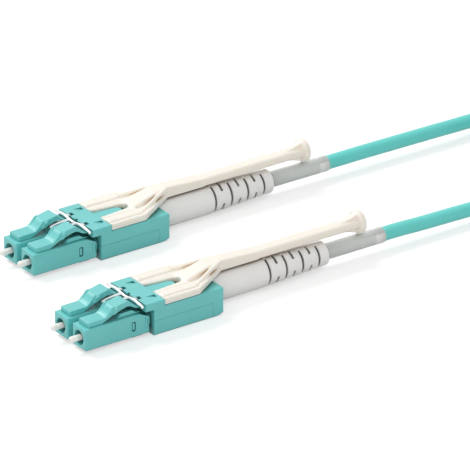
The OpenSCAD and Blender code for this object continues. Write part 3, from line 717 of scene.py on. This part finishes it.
@dataclass
class ReleaseWire:
    """The bright wire over the latches' tails: a bow over each latch, with a leg behind and before.

    Lengths are millimetres in the connector's own place.

    Attributes:
        seat: The connector that it is on.
        radius: Radius of the bar.
        bar_x: X of the bar over the tails.
        bar_steps: Steps of the bar from its middle to its end.
        height: Z of the bar's highest places, over the latches.
        crest_y: Y of the bar's highest places.
        dip: How far the bar's middle dips.
        droop: How far the bar's ends bend down.
        reach: Y of the bar's ends.
        legs: The leg down into the roof and the leg forward beside the latch's arm, each with
            its Y, its radius and its centre line as X and Z.
    """

    seat: Seat
    radius: float = 0.33
    bar_x: float = 12.7
    bar_steps: int = 18
    height: float = 7.2
    crest_y: float = 2.9
    dip: float = 0.42
    droop: float = 0.36
    reach: float = 5.95
    legs: Sequence[tuple[float, float, Outline]] = (
        (2.6, 0.31, ((12.7, 7.18), (13.1, 7.14), (13.45, 6.98), (13.75, 6.7), (13.95, 6.3),
                     (14.05, 5.9), (14.05, 5.75))),
        (1.12, 0.3, ((12.5, 6.86), (11.6, 6.87), (10.7, 6.84), (9.8, 6.75), (9.0, 6.6),
                     (8.35, 6.4))))

    def bar_z(self, y: float) -> float:
        """Works out the height of the bar's centre line.

        Args:
            y: Distance from the connector's middle plane.

        Returns:
            The height over the table.
        """
        if y < self.crest_y:
            return self.height - self.dip * (1 + math.cos(math.pi * y / self.crest_y)) / 2
        return self.height - self.droop * ((y - self.crest_y) / (self.reach - self.crest_y)) ** 2

    def build(self) -> None:
        """Builds the wire."""
        seat = self.seat
        steps = [self.reach * i / self.bar_steps for i in range(self.bar_steps + 1)]
        half = [Vector((self.bar_x, y, self.bar_z(y))) for y in steps]
        mirrored = [Vector((p.x, -p.y, p.z)) for p in half[:0:-1]]
        shape = bmesh.new()
        swept(shape, mirrored + half, self.radius)
        for side in Side:
            for y, radius, line in self.legs:
                swept(shape, [Vector((x, side.value * y, z)) for x, z in line], radius)
        bmesh.ops.recalc_face_normals(shape, faces=shape.faces)
        soften(shape)
        seat.settle(shape)
        finished(seat.node("formed_wire"), shape, WIRE_STEEL, "wire_steel", seat.node("wire"),
                 seat.node("release_wire"))


@dataclass
class Mouldings:
    """The pull tab and the boot, whose moulded skins have soft edges and fillets.

    Lengths are millimetres in the connector's own place.

    Attributes:
        seat: The connector that they are on.
        voxel: Size of the skins' faces.
        tab_passes: Rounds of smoothing of the tab.
        boot_passes: Rounds of smoothing of the boot.
        rib_y: Inner and outer Y of the raised rib on each prong of the tab.
        rib_top: Height of the rib over the table.
        rib_view: Side view of the rib, as X and its height over the rib's top.
        keel: Centre line of the round keel that carries the rib on to the rod, as X, share of the
            rib's Y, and height over the rib's top.
        keel_radius: Radius of the keel.
    """

    seat: Seat
    voxel: float = 0.12
    tab_passes: int = 3
    boot_passes: int = 1
    rib_y: tuple[float, float] = (3.4, 5.1)
    rib_top: float = 7.42
    rib_view: Outline = ((18.0, -0.7), (18.0, -0.25), (18.25, 0.0), (26.0, 0.0), (26.5, -0.7))
    keel: Path = ((25.6, 1.0, -0.45), (26.6, 1.0, -0.3), (31.2, 0.55, 0.75), (34.0, 0.3, 1.25))
    keel_radius: float = 0.42

    def build(self) -> None:
        """Builds the tab and the boot."""
        seat = self.seat
        for node, passes, finish, body in (
                ("pull_tab", self.tab_passes, TAB_NYLON, seat.node("tab")),
                ("boot", self.boot_passes, BOOT_RUBBER, CORD_BODY)):
            shape = copy_of(seat.node(node))
            if node == "pull_tab":
                self.add_ribs(shape)
            shape = one_skin(shape, self.voxel, passes)
            bmesh.ops.scale(shape, vec=(MM, MM, MM), verts=shape.verts)
            finished(seat.node(f"{node}_moulding"), shape, finish, "white_plastic", body,
                     seat.node(node))

    def add_ribs(self, shape: BMesh) -> None:
        """Adds the tab's raised ribs, which run along the prongs and up to the rod.

        Args:
            shape: The tab's shape in millimetres on the table.
        """
        ribs = bmesh.new()
        outline = [(x, self.rib_top + rise) for x, rise in self.rib_view]
        for side in Side:
            slab(ribs, outline, *(side.value * y for y in self.rib_y))
            middle = sum(self.rib_y) / 2 * side.value
            swept(ribs, [Vector((x, middle * share, self.rib_top + rise))
                         for x, share, rise in self.keel], self.keel_radius)
        bmesh.ops.translate(ribs, verts=ribs.verts, vec=(self.seat.x, self.seat.y, 0.0))
        rib_mesh = bpy.data.meshes.new("ribs")
        ribs.to_mesh(rib_mesh)
        ribs.free()
        shape.from_mesh(rib_mesh)
        bpy.data.meshes.remove(rib_mesh)


@dataclass
class Ferrule(PlugPart):
    """A ceramic ferrule with a domed, polished end and its fibre.

    Attributes:
        height: Height of its axis over the table.
        end_x: X of its two ends.
        core: Radius of the fibre that shows in the polished end.
        tip: Profile of the dome and its cone, as distance from the front end and radius.
        heel: Profile of the rear edge, as distance from the rear end and radius.
    """

    height: float = 2.85
    end_x: tuple[float, float] = (-2.2, 4.05)
    core: float = 0.09
    tip: Outline = ((0.012, 0.22), (0.04, 0.36), (0.07, 0.41), (0.24, 0.59), (0.34, 0.625))
    heel: Outline = ((0.2, 0.625), (0.1, 0.575), (0.0, 0.5))

    def build(self) -> None:
        """Builds the ferrule."""
        seat, side = self.seat, self.side
        front, back = self.end_x
        shape = spun([(front, 0.0), (front, self.core), *((front + x, r) for x, r in self.tip),
                      *((back - x, r) for x, r in self.heel), (back, 0.0)])
        past_core = self.core * 1.05
        for face in shape.faces:
            if max(vert.co.yz.length for vert in face.verts) < past_core:
                face.material_index = 1
        bmesh.ops.translate(shape, verts=shape.verts, vec=(0.0, 0.0, self.height))
        seat.settle(shape, side)
        name = seat.node(f"ferrule_{side.word}")
        piece = finished(f"{name}_ceramic", shape, CERAMIC, "ferrule_ceramic",
                         seat.node(f"ferrule_unit_{side.word}"), name)
        piece.data.materials.append(SILICA_CORE.material())


@dataclass
class LabelWrap:
    """The bare label film round the cable, and the clear sleeve shrunk over it.

    Lengths are millimetres in the connector's own place.

    Attributes:
        seat: The connector that it is on.
        height: Height of the cable's axis.
        film_x: X of the film's ends.
        film: Inner and outer radius of the film.
        margin: Length of the white margin at the film's rear end.
        lap: How far the film's lapped end is sunk and stands proud.
        lap_turn: Degrees that the lapped end goes round, and the steps that draw it.
        sleeve_x: X of the sleeve's ends.
        sleeve: Inner and outer radius of the sleeve.
        lip: Length and depth of the sleeve's rounded lips.
        plain: Length at each end before the waves start.
        wave: Depth of the waves from its shrinking, their steps, and the radians of a step.
    """

    seat: Seat
    height: float = 3.15
    film_x: tuple[float, float] = (59.6, 73.4)
    film: tuple[float, float] = (1.47, 1.6)
    margin: float = 2.2
    lap: tuple[float, float] = (0.02, 0.018)
    lap_turn: tuple[float, int] = (52.0, 8)
    sleeve_x: tuple[float, float] = (59.42, 73.7)
    sleeve: tuple[float, float] = (1.625, 1.75)
    lip: tuple[float, float] = (0.08, 0.05)
    plain: float = 0.25
    wave: tuple[float, int, float] = (0.02, 28, 1.9)

    def build(self) -> None:
        """Builds the label and its sleeve."""
        inner, outer = self.film
        front, back = self.film_x
        white = back - self.margin
        film = spun([(front, inner), (front, outer), (white, outer), (back, outer), (back, inner),
                     (white, inner)], closed=True)
        for face in film.faces:
            face.material_index = int(face.calc_center_median().x > white)
        under, over = outer - self.lap[0], outer + self.lap[1]
        degrees, steps = self.lap_turn
        lap = spun([(front, under), (front, over), (back, over), (back, under)], steps,
                   closed=True, turn=math.radians(degrees))
        bmesh.ops.holes_fill(lap, edges=[e for e in lap.edges if e.is_boundary])
        self.fit("label_film", film, LABEL_FILM, "label_paper", "label")
        self.fit("label_lap", lap, LABEL_FILM, "label_paper")
        self.fit("shrink_sleeve", self.shrunk(), CLEAR_SLEEVE, "clear_sleeve", "label_sleeve")

    def shrunk(self) -> BMesh:
        """Draws the clear sleeve, with rounded lips and the slight waves of its shrinking.

        Returns:
            The sleeve's shape round the X axis.
        """
        inner, outer = self.sleeve
        front, back = self.sleeve_x
        depth, steps, pace = self.wave
        length = back - front - 2 * self.plain
        crown = outer - depth
        skin = [(front + self.plain + length * i / steps, crown + depth * math.sin(i * pace))
                for i in range(steps + 1)]
        edge = crown - self.lip[1]
        return spun([(front, inner), (front, edge), (front + self.lip[0], crown), *skin,
                     (back - self.lip[0], crown), (back, edge), (back, inner)], closed=True)

    def fit(self, name: str, shape: BMesh, finish: Finish, slot: str, *nodes: str) -> None:
        """Finishes one of the wrap's pieces and fixes it to the cable.

        Args:
            name: What the piece is called on each connector.
            shape: Its shape round the X axis.
            finish: Its finish.
            slot: The record's material slot.
            nodes: What the nodes that it replaces are called on each connector.
        """
        bmesh.ops.translate(shape, verts=shape.verts, vec=(0.0, 0.0, self.height))
        self.seat.settle(shape)
        piece = finished(self.seat.node(name), shape, finish, slot, CORD_BODY,
                         *map(self.seat.node, nodes))
        if finish is LABEL_FILM:
            piece.data.materials.append(LABEL_MARGIN.material())


@dataclass
class Connector:
    """One end of the cord with all its parts.

    Attributes:
        seat: Where it lies.
    """

    seat: Seat

    def build(self) -> None:
        """Builds the connector's pieces."""
        for side in Side:
            for part in (Latch, LatchRest, Barb, Ferrule):
                part(self.seat, side).build()
        for part in (ReleaseWire, Mouldings, LabelWrap):
            part(self.seat).build()


# ---- Cable ----


@dataclass
class CordRun:
    """The cable between the connectors' boots: two leads and a put-away coil.

    Lengths are metres. The leads' points and the coil's sizes are those of the solids.

    Attributes:
        diameter: Diameter of the cable.
        coil_centre: X and Y of the coil's middle.
        coil_mean: The coil's mean diameter.
        coil_pitch: Distance between two turns of a layer.
        layer_turns: Turns of each of the coil's two layers.
        climb_turns: Turns of the climb from one layer to the other.
        layer_z: Heights of the two layers.
        climb_dip: How far the climb swings inwards.
        ring_points: Points of a turn.
        lead_a: Centre line from connector a to the coil.
        lead_b: Centre line from connector b to the coil.
    """

    diameter: float = 0.0029
    coil_centre: tuple[float, float] = (0.102, 0.0)
    coil_mean: float = 0.0324
    coil_pitch: float = 0.0034
    layer_turns: float = 3.5
    climb_turns: float = 0.5
    layer_z: tuple[float, float] = (0.00215, 0.00555)
    climb_dip: float = 0.00044
    ring_points: int = 24
    lead_a: Path = (
        (0.04295, 0.0165, 0.00315), (0.0462, 0.0165, 0.00315), (0.052, 0.0165, 0.00315),
        (0.058, 0.0165, 0.0031), (0.064, 0.0165, 0.00305), (0.070, 0.0165, 0.003),
        (0.076, 0.0166, 0.00285), (0.082, 0.0174, 0.0025), (0.087, 0.0191, 0.00225),
        (0.092, 0.0212, 0.00215), (0.0962, 0.02215, 0.00215), (0.0991, 0.02215, 0.00215))
    lead_b: Path = (
        (0.03295, -0.0165, 0.00315), (0.0362, -0.0165, 0.00315), (0.042, -0.0165, 0.00295),
        (0.048, -0.0165, 0.00285), (0.054, -0.0165, 0.0027), (0.060, -0.0166, 0.00245),
        (0.066, -0.017, 0.00205), (0.072, -0.0178, 0.00175), (0.078, -0.019, 0.00195),
        (0.084, -0.0205, 0.003), (0.090, -0.0218, 0.0047), (0.096, -0.02215, 0.00555),
        (0.0991, -0.02215, 0.00555))

    def coil_point(self, turn: float) -> Vector:
        """Works out a point of the coil's centre line.

        Args:
            turn: Turns from the coil's start.

        Returns:
            The point.
        """
        outer = self.coil_mean / 2 + self.coil_pitch * self.layer_turns / 2
        inner = outer - self.coil_pitch * self.layer_turns
        climb = min(max((turn - self.layer_turns) / self.climb_turns, 0.0), 1.0)
        if climb <= 0:
            radius = outer - self.coil_pitch * turn
        elif climb >= 1:
            radius = inner + self.coil_pitch * (turn - self.layer_turns - self.climb_turns)
        else:
            radius = inner - self.climb_dip * math.sin(math.pi * climb)
        low, high = self.layer_z
        angle = math.radians(90 - 360 * turn)
        return Vector((self.coil_centre[0] + radius * math.cos(angle),
                       self.coil_centre[1] + radius * math.sin(angle),
                       low + (high - low) * climb * climb * (3 - 2 * climb)))

    def route(self) -> list[Vector]:
        """Works out the whole centre line from one boot to the other.

        Returns:
            Its points.
        """
        steps = round((2 * self.layer_turns + self.climb_turns) * self.ring_points)
        coil = [self.coil_point(i / self.ring_points) for i in range(steps + 1)]
        return [*map(Vector, self.lead_a), *coil, *map(Vector, reversed(self.lead_b))]

    def build(self) -> None:
        """Builds the cable as one curve."""
        points = self.route()
        curve = bpy.data.curves.new("cable", "CURVE")
        curve.dimensions = "3D"
        curve.bevel_depth = self.diameter / 2
        curve.bevel_resolution = curve.resolution_u = 5
        curve.use_fill_caps = True
        spline = curve.splines.new("BEZIER")
        spline.bezier_points.add(len(points) - 1)
        for knot, point in zip(spline.bezier_points, points):
            knot.co = point
            knot.handle_left_type = knot.handle_right_type = "AUTO"
        piece = bpy.data.objects.new("cable", curve)
        bpy.context.collection.objects.link(piece)
        dress(piece, JACKET)
        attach(piece, CORD_BODY)
        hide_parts("cord_lead_a", "cord_coil", "cord_lead_b")


# ---- Tie ----


@dataclass
class CoilTie:
    """The hook-and-loop strap round the coil, with its lapped, stitched end.

    Lengths are millimetres on the table.

    Attributes:
        middle: X and Z of the middle of the loop.
        hole: Width and height of the loop's inside.
        corner: Radius of its inner corners.
        thick: Thickness of the strap.
        width: Width of the strap.
        lap_view: Side view of the lapped end, from the rear edge of the strap's flat top.
        lap_inset: How far the lapped end's sides are set in.
        seam_x: How far each row of stitches is in front of that edge.
        seam_inset: How far a row's end stitches are from the strap's sides.
        stitches: Stitches of a row.
        stitch: Length and radius of a stitch.
        sunk: How far the stitches sink into the strap.
    """

    middle: tuple[float, float] = (118.15, 3.85)
    hole: tuple[float, float] = (15.3, 6.7)
    corner: float = 1.3
    thick: float = 0.5
    width: float = 6.0
    lap_view: Outline = ((0.0, -0.02), (-8.0, 0.0), (-9.0, 0.12), (-9.0, 0.5), (-8.0, 0.48),
                         (-0.6, 0.45), (0.0, 0.12))
    lap_inset: float = 0.05
    seam_x: tuple[float, float] = (0.9, 1.7)
    seam_inset: float = 0.6
    stitches: int = 8
    stitch: tuple[float, float] = (0.44, 0.07)
    sunk: float = 0.02

    @property
    def top_edge(self) -> tuple[float, float]:
        """Returns X and Z of the rear edge of the strap's flat top."""
        return (self.middle[0] + self.hole[0] / 2 - self.corner,
                self.middle[1] + self.hole[1] / 2 + self.thick)

    def build(self) -> None:
        """Builds the strap, its lapped end and the stitches."""
        self.finish("tie_strap", self.strap(), "coil_tie")
        half = self.width / 2 - self.lap_inset
        x_end, top = self.top_edge
        lap = bmesh.new()
        slab(lap, [(x_end + x, top + z) for x, z in self.lap_view], -half, half)
        self.finish("tie_lap", lap)
        self.finish("tie_stitches", self.seam())

    def strap(self) -> BMesh:
        """Draws the closed loop of the strap.

        Returns:
            The loop's shape.
        """
        loop = bmesh.new()
        ring = bmesh.ops.create_circle(loop, segments=32, radius=self.corner)["verts"]
        flat_x, flat_z = [size / 2 - self.corner for size in self.hole]
        for vert in ring:
            vert.co += Vector((math.copysign(flat_x, vert.co.x),
                               math.copysign(flat_z, vert.co.y), 0.0))
        bmesh.ops.rotate(loop, verts=ring, cent=(0, 0, 0),
                         matrix=Matrix.Rotation(math.pi / 2, 3, "X"))
        band = bmesh.ops.extrude_edge_only(loop, edges=loop.edges[:])["geom"]
        moved = [item for item in band if isinstance(item, BMVert)]
        bmesh.ops.translate(loop, verts=moved, vec=(0.0, self.width, 0.0))
        bmesh.ops.recalc_face_normals(loop, faces=loop.faces)
        bmesh.ops.solidify(loop, geom=loop.faces[:], thickness=-self.thick)
        bmesh.ops.translate(loop, verts=loop.verts,
                            vec=(self.middle[0], -self.width / 2, self.middle[1]))
        return loop

    def seam(self) -> BMesh:
        """Draws the two rows of stitches across the lapped end.

        Returns:
            The stitches' shape.
        """
        x_end, top = self.top_edge
        z = top + self.thick - self.sunk
        span = self.width - 2 * self.seam_inset
        long, thread = self.stitch
        seam = bmesh.new()
        for row in self.seam_x:
            for i in range(self.stitches):
                y = -self.width / 2 + self.seam_inset + i * span / (self.stitches - 1)
                line = [Vector((x_end - row, y + half, z)) for half in (-long / 2, long / 2)]
                swept(seam, line, thread, sides=8)
        soften(seam)
        return seam

    def finish(self, name: str, shape: BMesh, *nodes: str) -> None:
        """Finishes one of the strap's pieces.

        Args:
            name: The piece's name.
            shape: Its shape in millimetres.
            nodes: The CAD nodes that it replaces.
        """
        bmesh.ops.recalc_face_normals(shape, faces=shape.faces)
        bmesh.ops.scale(shape, vec=(MM, MM, MM), verts=shape.verts)
        finished(name, shape, STRAP_WEAVE, "tie_fabric", CORD_BODY, *nodes)


# ---- Studio ----


@dataclass(frozen=True)
class Lamp:
    """A soft square lamp that points at the object.

    Attributes:
        name: Its name.
        place: Where it stands, in metres.
        size: Its width in metres.
        power: Its power in watts.
    """

    name: str
    place: tuple[float, float, float]
    size: float
    power: float

    def build(self) -> None:
        """Makes the lamp."""
        data = bpy.data.lights.new(self.name, "AREA")
        data.size = self.size
        data.energy = self.power
        piece = bpy.data.objects.new(self.name, data)
        piece.location = self.place
        piece.rotation_mode = "QUATERNION"
        piece.rotation_quaternion = (-Vector(self.place)).to_track_quat("-Z", "Y")
        bpy.context.collection.objects.link(piece)


@dataclass
class Studio:
    """The floor, the light and the camera.

    Attributes:
        azimuth: Camera's direction round the object, in degrees.
        elevation: Camera's height over the horizon, in degrees.
        scale: Pixels of a millimetre at the target.
        target: The point of the table in the middle of the frame, in millimetres.
        focal: Focal length in pixels.
        frame_px: The frame's width in pixels.
        sensor_mm: The frame's width on the camera's sensor.
        table_colour: The table's sRGB colour.
        table_glow: Light that the table adds where it is seen, which takes it to white.
        surround: Strength of the surround as a light, and where it is seen.
        lamps: The lamps.
    """

    azimuth: float = -34.8237
    elevation: float = 25.8201
    scale: float = 5.0742
    target: tuple[float, float] = (12.754, 5.0713)
    focal: float = 8000.0
    frame_px: int = 470
    sensor_mm: float = 36.0
    table_colour: str = "#CFCFCF"
    table_glow: float = 0.52
    surround: tuple[float, float] = (0.58, 1.0)
    lamps: tuple[Lamp, ...] = (Lamp("key", (-0.15, 0.6, 0.8), 0.4, 5.5),
                               Lamp("fill", (-0.6, -0.9, 0.5), 0.8, 3.0))

    def camera(self) -> None:
        """Makes the scene's camera."""
        data = bpy.data.cameras.new("camera")
        data.sensor_width = self.sensor_mm
        data.lens = self.focal * self.sensor_mm / self.frame_px
        az, el = math.radians(self.azimuth), math.radians(self.elevation)
        back = Vector((math.sin(az) * math.cos(el), -math.cos(az) * math.cos(el), math.sin(el)))
        distance = self.focal / self.scale * MM
        data.clip_start, data.clip_end = 0.05, 20.0
        camera = bpy.data.objects.new("camera", data)
        camera.location = Vector((*self.target, 0.0)) * MM + back * distance
        camera.rotation_mode = "QUATERNION"
        camera.rotation_quaternion = (-back).to_track_quat("-Z", "Y")
        bpy.context.collection.objects.link(camera)
        bpy.context.scene.camera = camera

    def seen(self, tree: NodeTree) -> NodeSocket:
        """Adds the nodes that tell a ray that is seen from one that only brings light.

        Args:
            tree: The node tree that gets them.

        Returns:
            The output, which is 1 for camera, glossy and transmitted rays.
        """
        rays = add_node(tree, "LightPath").outputs
        seen = rays["Is Camera Ray"]
        for kind in ("Is Glossy Ray", "Is Transmission Ray"):
            either = add_node(tree, "Math", {0: seen, 1: rays[kind]}, operation="MAXIMUM")
            seen = either.outputs[0]
        return seen

    def floor(self) -> None:
        """Makes the white table."""
        material = bpy.data.materials.new("white_table")
        material.use_nodes = True
        tree = material.node_tree
        shader = tree.nodes["Principled BSDF"]
        glow = add_node(tree, "Math", {0: self.seen(tree), 1: self.table_glow},
                        operation="MULTIPLY")
        for name, value in (("Roughness", 0.9), ("Specular IOR Level", 0.1),
                            ("Base Color", linear(self.table_colour)),
                            ("Emission Color", (1, 1, 1, 1))):
            shader.inputs[name].default_value = value
        tree.links.new(glow.outputs[0], shader.inputs["Emission Strength"])
        shape = bmesh.new()
        bmesh.ops.create_circle(shape, cap_ends=True, segments=64, radius=3.0)
        piece = mesh_object("table", shape)
        piece.data.materials.append(material)

    def world(self) -> None:
        """Makes a white surround that is seen brighter than the light it gives."""
        world = bpy.data.worlds.new("surround")
        world.use_nodes = True
        bpy.context.scene.world = world
        tree = world.node_tree
        strength = add_node(tree, "MapRange", {
            "Value": self.seen(tree), "To Min": self.surround[0], "To Max": self.surround[1]})
        ground = tree.nodes["Background"]
        ground.inputs["Color"].default_value = (1, 1, 1, 1)
        tree.links.new(strength.outputs["Result"], ground.inputs["Strength"])

    def build(self) -> None:
        """Builds the whole studio."""
        self.camera()
        self.floor()
        self.world()
        for lamp in self.lamps:
            lamp.build()
        bpy.context.scene.view_settings.view_transform = "Standard"


def main() -> None:
    """Builds the studio, the cable, the connectors and the tie, in that order."""
    logging.basicConfig(level=logging.INFO)
    Studio().build()
    CordRun().build()
    dress_nodes()
    for seat in SEATS:
        Connector(seat).build()
    CoilTie().build()


if __name__ == "__main__":
    main()
